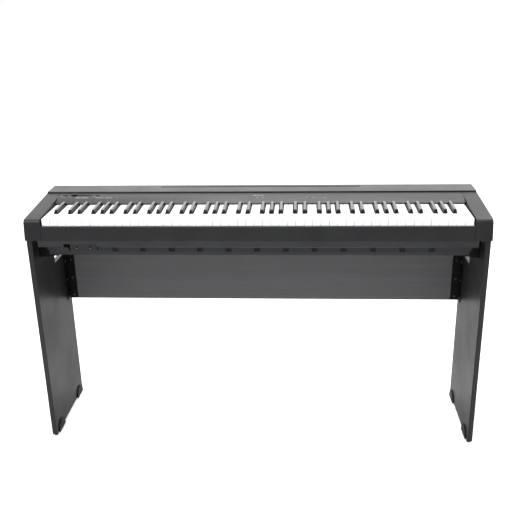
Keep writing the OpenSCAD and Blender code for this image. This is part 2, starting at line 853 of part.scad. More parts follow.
module main_board() {
    z = floor_z + shell_t + 8;
    x = main_board_x;
    y = wall_y + 30;
    color("#2f5a3a") {
        box([x - main_board_w / 2, y, z], [x + main_board_w / 2, y + 96, z + 1.6]);
        for (i = [-1, 1])
            for (j = [6, 90])
                bar_z(x + i * (main_board_w / 2 - 8), y + j, floor_z + shell_t, z, 3);
        box([x - 20, y + 30, z + 1.6], [x + 8, y + 58, z + 4.6]);
        box([x + 22, y + 20, z + 1.6], [x + 52, y + 70, z + 14]);
        for (i = [0:3]) bar_z(x - 56 + 12 * i, y + 76, z + 1.6, z + 13, 4.5);
    }
}

module speakers() {
    z = floor_z + shell_t;
    color("#202022")
    for (x = speaker_xs)
        translate([x, speaker_y, z]) {
            cylinder(h = 3, r = speaker_r);
            translate([0, 0, 3]) cylinder(h = 20, r1 = speaker_r - 8, r2 = 20);
            translate([0, 0, 23]) cylinder(h = 10, r = 22);
        }
}

// ---- the keys and the hammers ----

LOW = MIDDLE_C - 1;
HIGH = MIDDLE_C + 12;

module white_keys_low() { white_keys(0, LOW); }
module black_keys_low() { black_keys(0, LOW); }
module white_keys_high() { white_keys(HIGH, KEYS - 1); }
module black_keys_high() { black_keys(HIGH, KEYS - 1); }
module key_c4() { white_keys(MIDDLE_C, MIDDLE_C); }
module key_c_sharp4() { black_keys(MIDDLE_C + 1, MIDDLE_C + 1); }
module key_d4() { white_keys(MIDDLE_C + 2, MIDDLE_C + 2); }
module key_d_sharp4() { black_keys(MIDDLE_C + 3, MIDDLE_C + 3); }
module key_e4() { white_keys(MIDDLE_C + 4, MIDDLE_C + 4); }
module key_f4() { white_keys(MIDDLE_C + 5, MIDDLE_C + 5); }
module key_f_sharp4() { black_keys(MIDDLE_C + 6, MIDDLE_C + 6); }
module key_g4() { white_keys(MIDDLE_C + 7, MIDDLE_C + 7); }
module key_g_sharp4() { black_keys(MIDDLE_C + 8, MIDDLE_C + 8); }
module key_a4() { white_keys(MIDDLE_C + 9, MIDDLE_C + 9); }
module key_a_sharp4() { black_keys(MIDDLE_C + 10, MIDDLE_C + 10); }
module key_b4() { white_keys(MIDDLE_C + 11, MIDDLE_C + 11); }

module white_hammers_low() { hammers(0, LOW, true); }
module black_hammers_low() { hammers(0, LOW, false); }
module white_hammers_high() { hammers(HIGH, KEYS - 1, true); }
module black_hammers_high() { hammers(HIGH, KEYS - 1, false); }
module hammer_c4() { hammer(MIDDLE_C); }
module hammer_c_sharp4() { hammer(MIDDLE_C + 1); }
module hammer_d4() { hammer(MIDDLE_C + 2); }
module hammer_d_sharp4() { hammer(MIDDLE_C + 3); }
module hammer_e4() { hammer(MIDDLE_C + 4); }
module hammer_f4() { hammer(MIDDLE_C + 5); }
module hammer_f_sharp4() { hammer(MIDDLE_C + 6); }
module hammer_g4() { hammer(MIDDLE_C + 7); }
module hammer_g_sharp4() { hammer(MIDDLE_C + 8); }
module hammer_a4() { hammer(MIDDLE_C + 9); }
module hammer_a_sharp4() { hammer(MIDDLE_C + 10); }
module hammer_b4() { hammer(MIDDLE_C + 11); }

side_panel_left();
side_panel_right();
back_board();
corner_brackets();
support_brackets();
stabiliser_feet();
floor_glides();
bracket_screws();
case_bolts();
lower_case();
end_block_left();
end_block_right();
key_slip();
control_panel();
rear_cover();
case_feet();
case_screws();
headphone_box();
rear_sockets();
power_button();
function_button();
volume_knob();
key_frame();
pivot_rods();
key_felts();
contact_board();
main_board();
speakers();
white_keys_low();
black_keys_low();
white_keys_high();
black_keys_high();
key_c4();
key_c_sharp4();
key_d4();
key_d_sharp4();
key_e4();
key_f4();
key_f_sharp4();
key_g4();
key_g_sharp4();
key_a4();
key_a_sharp4();
key_b4();
white_hammers_low();
black_hammers_low();
white_hammers_high();
black_hammers_high();
hammer_c4();
hammer_c_sharp4();
hammer_d4();
hammer_d_sharp4();
hammer_e4();
hammer_f4();
hammer_f_sharp4();
hammer_g4();
hammer_g_sharp4();
hammer_a4();
hammer_a_sharp4();
hammer_b4();
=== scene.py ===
"""A digital piano on its stand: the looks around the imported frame.

X points to the player's right, Y away from the player and Z up. The frame and Blender count in metres.
The sizes written here are in millimetres, unless a name or a comment says otherwise.
"""
import json
import math

import bmesh
import bpy
from mathutils import Matrix, Vector
from mathutils.bvhtree import BVHTree


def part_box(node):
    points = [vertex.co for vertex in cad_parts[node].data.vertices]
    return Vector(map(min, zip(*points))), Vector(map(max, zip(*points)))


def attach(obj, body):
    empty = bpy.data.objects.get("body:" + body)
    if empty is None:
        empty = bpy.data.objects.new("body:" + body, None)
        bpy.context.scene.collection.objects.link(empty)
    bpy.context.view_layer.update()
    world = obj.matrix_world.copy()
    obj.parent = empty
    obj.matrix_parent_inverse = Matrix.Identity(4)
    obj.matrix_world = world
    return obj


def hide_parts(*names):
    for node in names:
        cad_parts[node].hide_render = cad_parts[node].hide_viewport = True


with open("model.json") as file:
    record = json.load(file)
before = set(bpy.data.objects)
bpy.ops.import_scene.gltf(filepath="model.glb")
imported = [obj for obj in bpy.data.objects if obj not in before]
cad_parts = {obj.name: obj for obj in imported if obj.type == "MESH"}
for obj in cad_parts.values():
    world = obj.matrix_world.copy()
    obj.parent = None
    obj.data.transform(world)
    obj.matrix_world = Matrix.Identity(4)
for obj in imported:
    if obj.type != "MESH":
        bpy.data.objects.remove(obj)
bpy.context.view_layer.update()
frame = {"nodes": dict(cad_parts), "record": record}

MM = 0.001
STAND = "piano_on_stand"
NOTES = ["c4", "c_sharp4", "d4", "d_sharp4", "e4", "f4",
         "f_sharp4", "g4", "g_sharp4", "a4", "a_sharp4", "b4"]
SHARPS = [note for note in NOTES if "sharp" in note]
NATURALS = [note for note in NOTES if "sharp" not in note]
WHITE_NODES = ["white_keys_low", "white_keys_high"] + ["key_" + note for note in NATURALS]
BLACK_NODES = ["black_keys_low", "black_keys_high"] + ["key_" + note for note in SHARPS]
HAMMER_NODES = [f"{colour}_hammers_{end}" for colour in ("white", "black") for end in ("low", "high")]
HAMMER_NODES += ["hammer_" + note for note in NOTES]
SMOOTH_DEG = 35         # a piece is shaded smooth across edges that turn by less than this
WELD = 0.002            # points closer than this are one
SAME = 0.2              # sizes and heights that differ by less than this count as the same


# ---- materials ----

def linear(hex_colour):
    """An sRGB hex colour as linear RGBA."""
    channels = [int(hex_colour[i:i + 2], 16) / 255 for i in (1, 3, 5)]
    return [c / 12.92 if c <= 0.04045 else ((c + 0.055) / 1.055) ** 2.4 for c in channels] + [1.0]


def per_mm(size):
    """The texture scale that gives features of a size in millimetres."""
    return 1 / (size * MM)


def add(tree, kind, settings=(), links=()):
    """Adds a shader node, sets its properties or sockets, and feeds its sockets from others."""
    made = tree.nodes.new(kind)
    for key, value in dict(settings).items():
        if isinstance(key, str) and hasattr(made, key):
            setattr(made, key, value)
        else:
            made.inputs[key].default_value = value
    for key, source in dict(links).items():
        tree.links.new(source, made.inputs[key])
    return made


def start(name, settings):
    """A material with its surface shader and its object coordinates."""
    made = bpy.data.materials.new(name)
    made.use_nodes = True
    tree = made.node_tree
    tree.nodes.clear()
    surface = add(tree, "ShaderNodeBsdfPrincipled", settings)
    output = add(tree, "ShaderNodeOutputMaterial")
    tree.links.new(surface.outputs["BSDF"], output.inputs["Surface"])
    place = add(tree, "ShaderNodeTexCoord").outputs["Object"]
    return made, tree, surface, place


def two_tones(tree, surface, factor, dark, light, low=0.35, high=0.65):
    """The base colour wanders between two tones as the factor goes from low to high."""
    ramp = add(tree, "ShaderNodeMapRange", {"From Min": low, "From Max": high}, {"Value": factor})
    mix = add(tree, "ShaderNodeMix", {"data_type": "RGBA"}, {0: ramp.outputs["Result"]})
    mix.inputs[6].default_value = linear(dark)
    mix.inputs[7].default_value = linear(light)
    tree.links.new(mix.outputs[2], surface.inputs["Base Color"])


def rough_between(tree, surface, factor, low, high):
    """The roughness wanders between two values with the factor."""
    limits = {"From Min": 0.3, "From Max": 0.7, "To Min": low, "To Max": high}
    ramp = add(tree, "ShaderNodeMapRange", limits, {"Value": factor})
    tree.links.new(ramp.outputs["Result"], surface.inputs["Roughness"])


def relief(tree, surface, height, depth_mm, strength=1.0):
    """A height pattern of a real depth in millimetres."""
    settings = {"Strength": strength, "Distance": depth_mm * MM}
    bump = add(tree, "ShaderNodeBump", settings, {"Height": height})
    tree.links.new(bump.outputs["Normal"], surface.inputs["Normal"])


def moulded_abs(name, dark, light, roughness, grain_mm=0.9):
    """ABS moulded in a spark-eroded tool: an even satin grain, with faint cloudy wear in its gloss.
    The real grain is about 0.2 mm, drawn coarser so that it shows."""
    made, tree, surface, place = start(name, {"Roughness": roughness, "IOR": 1.53})
    grain = add(tree, "ShaderNodeTexNoise", {"Scale": per_mm(grain_mm), "Detail": 3.0, "Roughness": 0.6},
                {"Vector": place})
    clouds = add(tree, "ShaderNodeTexNoise", {"Scale": per_mm(90), "Detail": 4.0, "Roughness": 0.55},
                 {"Vector": place})
    two_tones(tree, surface, clouds.outputs["Fac"], dark, light)
    rough_between(tree, surface, clouds.outputs["Fac"], roughness - 0.05, roughness + 0.06)
    relief(tree, surface, grain.outputs["Fac"], 0.05, 0.5)
    return made


def foil_board(name, along, dark, light, roughness=0.33, grain=0.8):
    """Particle board in a black printed foil: semi-gloss, with a fine straight ash grain pressed into it.
    The grain's streaks are fifty times as long as they are wide."""
    made, tree, surface, place = start(name, {"Roughness": roughness, "IOR": 1.5})
    stretch = [1.0, 1.0, 1.0]
    stretch["XYZ".index(along)] = 0.02
    turned = add(tree, "ShaderNodeMapping", {"Scale": stretch}, {"Vector": place})
    pores = add(tree, "ShaderNodeTexNoise", {"Scale": per_mm(2.2), "Detail": 5.0, "Roughness": 0.62},
                {"Vector": turned.outputs["Vector"]})
    bands = add(tree, "ShaderNodeTexNoise", {"Scale": per_mm(14), "Detail": 3.0, "Roughness": 0.5},
                {"Vector": turned.outputs["Vector"]})
    clouds = add(tree, "ShaderNodeTexNoise", {"Scale": per_mm(160), "Detail": 3.0}, {"Vector": place})
    both = add(tree, "ShaderNodeMath", {"operation": "MULTIPLY_ADD", 1: 0.6},
               {0: bands.outputs["Fac"], 2: pores.outputs["Fac"]})
    two_tones(tree, surface, both.outputs["Value"], dark, light, 0.65, 0.95)
    rough_between(tree, surface, clouds.outputs["Fac"], roughness - 0.05, roughness + 0.08)
    relief(tree, surface, pores.outputs["Fac"], 0.1, 0.4 * grain)
    return made


def powder_coat(name, dark, light):
    """Steel in a black powder coat: satin, with an orange peel of about 1 mm."""
    made, tree, surface, place = start(name, {"Roughness": 0.42, "IOR": 1.3})
    peel = add(tree, "ShaderNodeTexNoise", {"Scale": per_mm(1.4), "Detail": 2.0}, {"Vector": place})
    clouds = add(tree, "ShaderNodeTexNoise", {"Scale": per_mm(40), "Detail": 3.0}, {"Vector": place})
    two_tones(tree, surface, clouds.outputs["Fac"], dark, light)
    rough_between(tree, surface, clouds.outputs["Fac"], 0.36, 0.5)
    relief(tree, surface, peel.outputs["Fac"], 0.08, 0.6)
    return made


def bright_steel(name, tone, shade, roughness):
    """Drawn or plated steel: fine drawing lines along X, drawn coarser than the real 0.1 mm."""
    made, tree, surface, place = start(name, {"Metallic": 1.0, "Roughness": roughness})
    turned = add(tree, "ShaderNodeMapping", {"Scale": [0.03, 1.0, 1.0]}, {"Vector": place})
    lines = add(tree, "ShaderNodeTexNoise", {"Scale": per_mm(0.8), "Detail": 4.0},
                {"Vector": turned.outputs["Vector"]})
    two_tones(tree, surface, lines.outputs["Fac"], shade, tone)
    rough_between(tree, surface, lines.outputs["Fac"], roughness - 0.06, roughness + 0.1)
    relief(tree, surface, lines.outputs["Fac"], 0.02, 0.4)
    return made


def acrylic_key(name):
    """Cast acrylic key tops: bright white and glossy, a touch warmer and duller where fingers rub."""
    made, tree, surface, place = start(name, {"Roughness": 0.16, "IOR": 1.49, "Coat Weight": 0.25,
                                              "Coat Roughness": 0.08, "Subsurface Weight": 0.06,
                                              "Subsurface Scale": 0.002})
    rub = add(tree, "ShaderNodeTexNoise", {"Scale": per_mm(35), "Detail": 4.0}, {"Vector": place})
    two_tones(tree, surface, rub.outputs["Fac"], "#f1f0ec", "#fafaf8")
    rough_between(tree, surface, rub.outputs["Fac"], 0.12, 0.24)
    ripple = add(tree, "ShaderNodeTexNoise", {"Scale": per_mm(6), "Detail": 1.0}, {"Vector": place})
    relief(tree, surface, ripple.outputs["Fac"], 0.02, 0.3)
    return made


def matt_ebony(name):
    """Moulded black keys: dull, very dark sides and a finely brushed top that fingers have polished."""
    made, tree, surface, place = start(name, {"Roughness": 0.3, "IOR": 1.6, "Coat Roughness": 0.12})
    turned = add(tree, "ShaderNodeMapping", {"Scale": [1.0, 0.04, 1.0]}, {"Vector": place})
    lines = add(tree, "ShaderNodeTexNoise", {"Scale": per_mm(0.9), "Detail": 4.0},
                {"Vector": turned.outputs["Vector"]})
    two_tones(tree, surface, lines.outputs["Fac"], "#111112", "#1c1c1d")
    rough_between(tree, surface, lines.outputs["Fac"], 0.24, 0.36)
    relief(tree, surface, lines.outputs["Fac"], 0.03, 0.35)
    facing = add(tree, "ShaderNodeTexCoord").outputs["Normal"]
    upward = add(tree, "ShaderNodeSeparateXYZ", {}, {"Vector": facing}).outputs["Z"]
    side_to_top = {"From Min": 0.55, "From Max": 0.95}
    polish = add(tree, "ShaderNodeMapRange", side_to_top | {"To Max": 0.7}, {"Value": upward})
    shine = add(tree, "ShaderNodeMapRange", side_to_top | {"To Min": 0.1, "To Max": 0.6}, {"Value": upward})
    tree.links.new(polish.outputs["Result"], surface.inputs["Coat Weight"])
    tree.links.new(shine.outputs["Result"], surface.inputs["Specular IOR Level"])
    return made


def soft_rubber(name, dark, light, roughness=0.75, ior=1.52):
    """Moulded rubber or polyamide: dull, with a dusty bloom."""
    made, tree, surface, place = start(name, {"Roughness": roughness, "IOR": ior})
    bloom = add(tree, "ShaderNodeTexNoise", {"Scale": per_mm(7), "Detail": 4.0}, {"Vector": place})
    two_tones(tree, surface, bloom.outputs["Fac"], dark, light)
    rough_between(tree, surface, bloom.outputs["Fac"], roughness - 0.08, roughness + 0.08)
    relief(tree, surface, bloom.outputs["Fac"], 0.05, 0.4)
    return made


def wool_felt(name, dark, light):
    """Pressed wool felt or coarse cloth: no gloss, a fuzzy mottled face with short fibres."""
    settings = {"Roughness": 0.95, "Sheen Weight": 0.4, "Sheen Roughness": 0.5}
    made, tree, surface, place = start(name, settings)
    fibres = add(tree, "ShaderNodeTexNoise", {"Scale": per_mm(0.7), "Detail": 6.0, "Roughness": 0.7},
                 {"Vector": place})
    two_tones(tree, surface, fibres.outputs["Fac"], dark, light)
    relief(tree, surface, fibres.outputs["Fac"], 0.3, 0.8)
    return made


def solder_mask(name):
    """A green circuit board with copper tracks that show as paler lines under the lacquer."""
    made, tree, surface, place = start(name, {"Roughness": 0.3, "Coat Weight": 0.3})
    tracks = add(tree, "ShaderNodeTexVoronoi", {"feature": "DISTANCE_TO_EDGE", "distance": "MANHATTAN",
                                                "Scale": per_mm(6)}, {"Vector": place})
    two_tones(tree, surface, tracks.outputs["Distance"], "#2c6a44", "#123c24", 0.04, 0.07)
    relief(tree, surface, tracks.outputs["Distance"], 0.03, 0.3)
    return made


def pressed_paper(name):
    """A loudspeaker cone: black pressed paper, dull, with its fibres showing."""
    made, tree, surface, place = start(name, {"Roughness": 0.85})
    fibres = add(tree, "ShaderNodeTexNoise", {"Scale": per_mm(1.2), "Detail": 6.0}, {"Vector": place})
    two_tones(tree, surface, fibres.outputs["Fac"], "#151515", "#2a2a29")
    relief(tree, surface, fibres.outputs["Fac"], 0.15, 0.6)
    return made


def screen_ink(name, dark, light):
    """Screen-printed ink: slightly uneven, satin."""
    made, tree, surface, place = start(name, {"Roughness": 0.55})
    mottle = add(tree, "ShaderNodeTexNoise", {"Scale": per_mm(1.0), "Detail": 3.0}, {"Vector": place})
    two_tones(tree, surface, mottle.outputs["Fac"], dark, light)
    return made


def lamp_lens(name):
    """The unlit lens of an indicator lamp: deep red clear plastic."""
    made, tree, surface, place = start(name, {"Roughness": 0.12, "Coat Weight": 0.6})
    depth = add(tree, "ShaderNodeTexNoise", {"Scale": per_mm(2), "Detail": 1.0}, {"Vector": place})
    two_tones(tree, surface, depth.outputs["Fac"], "#4a1512", "#8a2a22")
    return made


CASE = moulded_abs("case_abs", "#121315", "#17181a", 0.44)
TRAY = moulded_abs("tray_abs", "#1e1f21", "#242527", 0.46)
PANEL = moulded_abs("panel_abs", "#1a1b1d", "#1f2023", 0.4, 0.7)
COVER = moulded_abs("cover_abs", "#202124", "#25262a", 0.36)
BOX = moulded_abs("socket_box_abs", "#131415", "#18191b", 0.45)
BUTTON = moulded_abs("button_abs", "#141517", "#1a1b1d", 0.32, 0.6)
SOCKET = moulded_abs("socket_plastic", "#0b0b0c", "#111112", 0.4)
END_FOIL = foil_board("end_board_foil", "Z", "#131315", "#202022")
# Painted light: the back board's black foil is drawn mid-grey, far paler than the end boards' foil, to
# stand in for the light it catches from the floor in front.
BACK_FOIL_PAINTED_LIGHT = foil_board("back_board_foil_painted_light", "X", "#4c4c4e", "#525254", 0.44, 0.15)
FOOT_PLATE = powder_coat("foot_plate_coat", "#101011", "#18181a")
# Partly painted shade: the brackets' black powder coat is real, but its tones are drawn near pure black,
# darker than the foot plates' same coat, to stand in for the shadow the brackets sit in.
POWDER_AND_SHADE = powder_coat("black_powder_coat_and_shade", "#050506", "#0b0b0c")
SCREW = bright_steel("blackened_steel", "#6a6b6e", "#3a3b3d", 0.38)
ROD = bright_steel("drawn_steel", "#c9cbce", "#9b9da0", 0.25)
# Partly painted shade: the key frame is real steel, but its bright zinc is drawn as a dark grey so that it
# stays in shade where it shows through the vents.
FRAME_STEEL_SHADED = bright_steel("frame_steel_painted_shade", "#56585b", "#3b3d40", 0.5)
NICKEL = bright_steel("nickel_plate", "#c8c6c0", "#8f8d88", 0.22)
HAMMER = powder_coat("hammer_coat", "#2c2d2f", "#454649")
IVORY = acrylic_key("white_acrylic")
EBONY = matt_ebony("matt_black_key")
RUBBER = soft_rubber("foot_rubber", "#0f0f10", "#1c1c1c")
# Painted shade: a near-black, almost unreflecting material that stands in for the shade in the recess
# beside the socket box, on the headphone hook and along the slider's slot.
SHADE_BLACK = soft_rubber("painted_shade_black", "#030303", "#070707", 0.9, 1.15)
GLIDE = soft_rubber("glide_polyamide", "#0e0e0f", "#19191a", 0.55)
FELT = wool_felt("key_felt", "#22090c", "#380f13")
BOARD_GREEN = solder_mask("circuit_board")
PAPER = pressed_paper("speaker_paper")
INK = screen_ink("pale_ink", "#b4b6b8", "#d0d2d4")
CLOTH = wool_felt("vent_cloth", "#1c1c1d", "#262627")
LENS = lamp_lens("lamp_lens")


# ---- making pieces ----

def finish_piece(shape, name, body, material, stands_for=()):
    """Turns a bmesh into a named piece that rides on a body."""
    mesh = bpy.data.meshes.new(name)
    shape.to_mesh(mesh)
    shape.free()
    mesh.shade_smooth()
    mesh.set_sharp_from_angle(angle=math.radians(SMOOTH_DEG))
    piece = bpy.data.objects.new(name, mesh)
    bpy.context.scene.collection.objects.link(piece)
    mesh.materials.append(material)
    weighted = piece.modifiers.new("flat_faces", "WEIGHTED_NORMAL")
    weighted.keep_sharp = True
    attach(piece, body)
    if stands_for:
        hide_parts(*stands_for)


def welded(node):
    """A CAD node's mesh as a clean bmesh, with its triangles joined into flat faces."""
    shape = bmesh.new()
    shape.from_mesh(frame["nodes"][node].data)
    bmesh.ops.remove_doubles(shape, verts=shape.verts, dist=WELD * MM)
    bmesh.ops.dissolve_limit(shape, angle_limit=math.radians(1), verts=shape.verts, edges=shape.edges,
                             delimit={"NORMAL"})
    return shape


def round_edges(shape, width_mm, segments=2, sharper_than=40, chosen=None):
    """Rounds every edge that turns by more than an angle in degrees, or those of them that are chosen."""
    sharp = [e for e in shape.edges if len(e.link_faces) == 2
             and e.calc_face_angle(0) > math.radians(sharper_than) and (chosen is None or chosen(e))]
    bmesh.ops.bevel(shape, geom=sharp, offset=width_mm * MM, offset_type="OFFSET", segments=segments,
                    profile=0.5, affect="EDGES", clamp_overlap=True, material=-1)


def body_of_node(node):
    """The body that a CAD node belongs to."""
    groups = frame["record"]["behaviour"]["bodies"]
    return next(body for body, members in groups.items() if node in members)


def softened(node, width_mm, material, segments=2):
    """A CAD node with its edges rounded, standing for the node."""
    shape = welded(node)
    round_edges(shape, width_mm, segments)
    finish_piece(shape, node + "_shell", body_of_node(node), material, [node])


def paint(node, material):
    """A better material on a CAD node that stays as it is."""
    mesh = frame["nodes"][node].data
    mesh.materials.clear()
    mesh.materials.append(material)


def pointing(place, direction):
    """The turn and place that take something standing on Z to a place and direction."""
    return Matrix.Translation(place) @ Vector(direction).to_track_quat("Z", "Y").to_matrix().to_4x4()


def lathe(outline, steps=32):
    """A profile of radius and height pairs in millimetres, turned about Z."""
    shape = bmesh.new()
    verts = [shape.verts.new((r * MM, 0, z * MM)) for r, z in outline]
    edges = [shape.edges.new(pair) for pair in zip(verts, verts[1:])]
    bmesh.ops.spin(shape, geom=verts + edges, axis=(0, 0, 1), cent=(0, 0, 0), angle=2 * math.pi,
                   steps=steps, use_merge=True, use_duplicate=False)
    bmesh.ops.remove_doubles(shape, verts=shape.verts, dist=0.001 * MM)
    bmesh.ops.recalc_face_normals(shape, faces=shape.faces)
    return shape


def slab(centre, size):
    """A block with its centre and its three sizes in millimetres."""
    shape = bmesh.new()
    place = Matrix.Translation([c * MM for c in centre]) @ Matrix.Diagonal([d * MM for d in size] + [1])
    bmesh.ops.create_cube(shape, size=1.0, matrix=place)
    return shape


def without(shape, cutters):
    """A bmesh with other shapes cut out of it."""
    result = bpy.data.meshes.new("result")
    shape.to_mesh(result)
    shape.free()
    for cutter in cutters:
        body = bpy.data.objects.new("body", result)
        tool_mesh = bpy.data.meshes.new("tool")
        cutter.to_mesh(tool_mesh)
        cutter.free()
        tool = bpy.data.objects.new("tool", tool_mesh)
        for made in (body, tool):
            bpy.context.scene.collection.objects.link(made)
        cut = body.modifiers.new("cut", "BOOLEAN")
        cut.operation = "DIFFERENCE"
        cut.solver = "EXACT"
        cut.object = tool
        ready = body.evaluated_get(bpy.context.evaluated_depsgraph_get())
        result = bpy.data.meshes.new_from_object(ready)
        for made in (body, tool):
            bpy.data.objects.remove(made)
    final = bmesh.new()
    final.from_mesh(result)
    return final


def merged(shape, matrices):
    """One bmesh with a copy of a shape at each place."""
    mesh = bpy.data.meshes.new("copies")
    shape.to_mesh(mesh)
    shape.free()
    whole = bmesh.new()
    for matrix in matrices:
        placed = mesh.copy()
        placed.transform(matrix)
        whole.from_mesh(placed)
    return whole


def islands(shape):
    """The separate solids of a bmesh, each as a list of vertices."""
    left = set(shape.verts)
    found = []
    while left:
        todo = [left.pop()]
        group = []
        while todo:
            vert = todo.pop()
            group.append(vert)
            for edge in vert.link_edges:
                other = edge.other_vert(vert)
                if other in left:
                    left.remove(other)
                    todo.append(other)
        found.append(group)
    return found


def screw_places(node, head_width_mm):
    """For each screw of a CAD node, the place under its head, turned the way it faces, and its length."""
    places = []
    shape = welded(node)
    head = head_width_mm * MM
    for group in islands(shape):
        low = Vector([min(v.co[i] for v in group) for i in range(3)])
        high = Vector([max(v.co[i] for v in group) for i in range(3)])
        size = high - low
        middle = (low + high) / 2
        across = [i for i in range(3) if abs(size[i] - head) < SAME * MM]
        longest = max(range(3), key=lambda i: size[i])
        along = ({0, 1, 2} - set(across)).pop() if len(across) == 2 else longest
        # The points furthest from the axis are on the rim of the head, so they tell its side.
        from_axis = {v: (v.co - middle).length_squared - (v.co[along] - middle[along]) ** 2 for v in group}
        rim = [v.co[along] for v in group if from_axis[v] > (0.42 * head) ** 2]
        facing = 1 if sum(rim) / len(rim) > middle[along] else -1
        direction = Vector([facing if i == along else 0 for i in range(3)])
        start_at = Vector(middle)
        start_at[along] = min(rim) if facing > 0 else max(rim)
        places.append((pointing(start_at, direction), size[along]))
    shape.free()
    return places


def pan_head(radius, height, shank_radius, shank_length):
    """A pan-head screw with a cross recess: the head stands on Z = 0 and the shank hangs below it."""
    tip = 0.6
    outline = [(0, height), (radius * 0.45, height), (radius * 0.75, height * 0.93),
               (radius * 0.93, height * 0.68), (radius, height * 0.32), (radius, 0.0),
               (shank_radius, 0.0), (shank_radius, -shank_length + tip),
               (shank_radius - tip, -shank_length), (0, -shank_length)]
    arm, blade, depth = radius * 1.05, radius * 0.24, height * 0.9
    blades = [slab((0, 0, height), (arm, blade, depth)), slab((0, 0, height), (blade, arm, depth))]
    return without(lathe(outline, 40), blades)


def screws(node, head_width_mm, head_height, shank_radius):
    """Pan-head screws in place of a CAD node of plain ones of the same sizes."""
    places = screw_places(node, head_width_mm)
    longest = max(length for _, length in places) / MM
    whole = merged(pan_head(head_width_mm / 2, head_height, shank_radius, longest - head_height),
                   [place for place, _ in places])
    finish_piece(whole, node + "_cross", STAND, SCREW, [node])


# ---- stand ----

softened("side_panel_left", 1.2, END_FOIL, 3)
softened("side_panel_right", 1.2, END_FOIL, 3)
softened("back_board", 0.9, BACK_FOIL_PAINTED_LIGHT, 2)
softened("stabiliser_feet", 0.7, FOOT_PLATE)
softened("corner_brackets", 0.5, POWDER_AND_SHADE)
softened("support_brackets", 0.5, POWDER_AND_SHADE)
softened("floor_glides", 0.5, GLIDE)
softened("case_bolts", 0.8, SCREW)
screws("bracket_screws", 9.0, 2.5, 2.4)
paint("case_screws", SCREW)

# ---- case ----


def end_block(node):
    """An end block: its whole outer and front rim is well rounded, the other edges only broken."""
    shape = welded(node)
    outward = 1 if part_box(node)[0].x > 0 else -1

    # The rim is where the outer side meets a face that looks up or towards the player.
    def outer_rim(edge):
        faces = sorted(edge.link_faces, key=lambda f: -f.normal.x * outward)
        if faces[0].normal.x * outward < 0.9 or faces[1].normal.x * outward > 0.5:
            return False
        return faces[1].normal.z > 0.05 or faces[1].normal.y < -0.3

    round_edges(shape, 7.0, 5, 30, outer_rim)
    round_edges(shape, 0.8, 2, 50)
    finish_piece(shape, node + "_shell", STAND, CASE, [node])


softened("lower_case", 0.7, TRAY)
end_block("end_block_left")
end_block("end_block_right")
softened("key_slip", 0.8, CASE)
softened("control_panel", 0.6, PANEL)


def cover():
    """The raised cover behind the panel, with a well rounded top front edge."""
    low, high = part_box("rear_cover")
    shape = welded("rear_cover")

    def front_edge(edge):
        return all(v.co.y < low.y + SAME * MM and v.co.z > high.z - SAME * MM for v in edge.verts)

    round_edges(shape, 3.0, 5, 40, front_edge)
    round_edges(shape, 0.6, 2, 50)
    finish_piece(shape, "rear_cover_shell", STAND, COVER, ["rear_cover"])


cover()
softened("headphone_box", 0.8, BOX)
softened("case_feet", 0.8, RUBBER)
softened("rear_sockets", 0.4, SOCKET)
softened("power_button", 0.7, BUTTON, 3)
softened("function_button", 0.7, BUTTON, 3)


def ribbed_knob():
    """The slider's knob: a small cap with fine grip ribs across its travel."""
    low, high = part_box("volume_knob")
    shape = welded("volume_knob")
    round_edges(shape, 0.5)
    finish_piece(shape, "volume_knob_cap", "volume_slider", BUTTON, ["volume_knob"])
    count, pitch, width, height, margin = 5, 2.0, 0.7, 0.4, 1.6
    size = Matrix.Diagonal((width * MM, (high.y - low.y) - margin * MM, height * MM, 1))
    ribs = bmesh.new()
    for i in range(count):
        x = (low.x + high.x) / 2 + (i - (count - 1) / 2) * pitch * MM
        place = Matrix.Translation((x, (low.y + high.y) / 2, high.z + 0.15 * MM))
        bmesh.ops.create_cube(ribs, size=1.0, matrix=place @ size)
    round_edges(ribs, 0.12, 1)
    finish_piece(ribs, "volume_knob_ribs", "volume_slider", BUTTON)


ribbed_knob()

# ---- printed marks and small fittings ----

PANEL_TREE = BVHTree.FromBMesh(welded("control_panel"))
ABOVE = 2.0             # metres: higher than anything on the piano
INK_HEIGHT = 0.16       # drawn thicker than real ink, half of it inside the panel
# Rows of plain bars where words and signs are printed: each row's Y, its bars' width,
# and where each bar starts and ends along X.
BAR_ROWS = [
    (32, 1.8, [(-560, -544), (-542, -519), (-496, -471), (-465, -444)]),
    (31, 2.4, [(-430.3, -427.7)]),
    (41, 1.1, [(-601.5, -590.5), (-500.5, -491.5)]),
    (31, 1.1, [(-2, 2), (13, 20), (146, 150), (167, 173), (200, 204)]),
    (50, 1.8, [(-14, -4), (-2, 8), (10, 19)]),
]
SCALE_X, SCALE_Y, SCALE_STEP, SCALE_COUNT = -575, 59, 9.33, 7
SCALE_LINE, SCALE_SHORT, SCALE_LONG = 0.7, 1.4, 2.2
SLOT_X, SLOT_Y = (-581.3, -512.7), (49.9, 56.1)     # the middles of the lines round the slider's slot
SLOT_LONG, SLOT_SHORT = (68, 2.0), (1.4, 8.2)       # their sizes along X and along the panel's slope
LAMP_X, LAMP_Y = -596, 63
JACKS = (20, 58)        # how far right of the socket box's left side each headphone socket is
PEDAL_X, INLET_X = -30, -70


def on_panel(x, y):
    """The point of the panel straight below a place given in millimetres, and the way it faces there."""
    hit, normal, _, _ = PANEL_TREE.ray_cast(Vector((x * MM, y * MM, ABOVE)), Vector((0, 0, -1)))
    return hit, normal


def mark(shape, x, y, length, width):
    """Adds one printed bar of ink, centred on a place of the panel."""
    hit, normal = on_panel(x, y)
    side = Vector((1, 0, 0))
    turn = Matrix((side, normal.cross(side), normal)).transposed().to_4x4()
    size = Matrix.Diagonal((length * MM, width * MM, INK_HEIGHT * MM, 1))
    bmesh.ops.create_cube(shape, size=1.0, matrix=Matrix.Translation(hit) @ turn @ size)


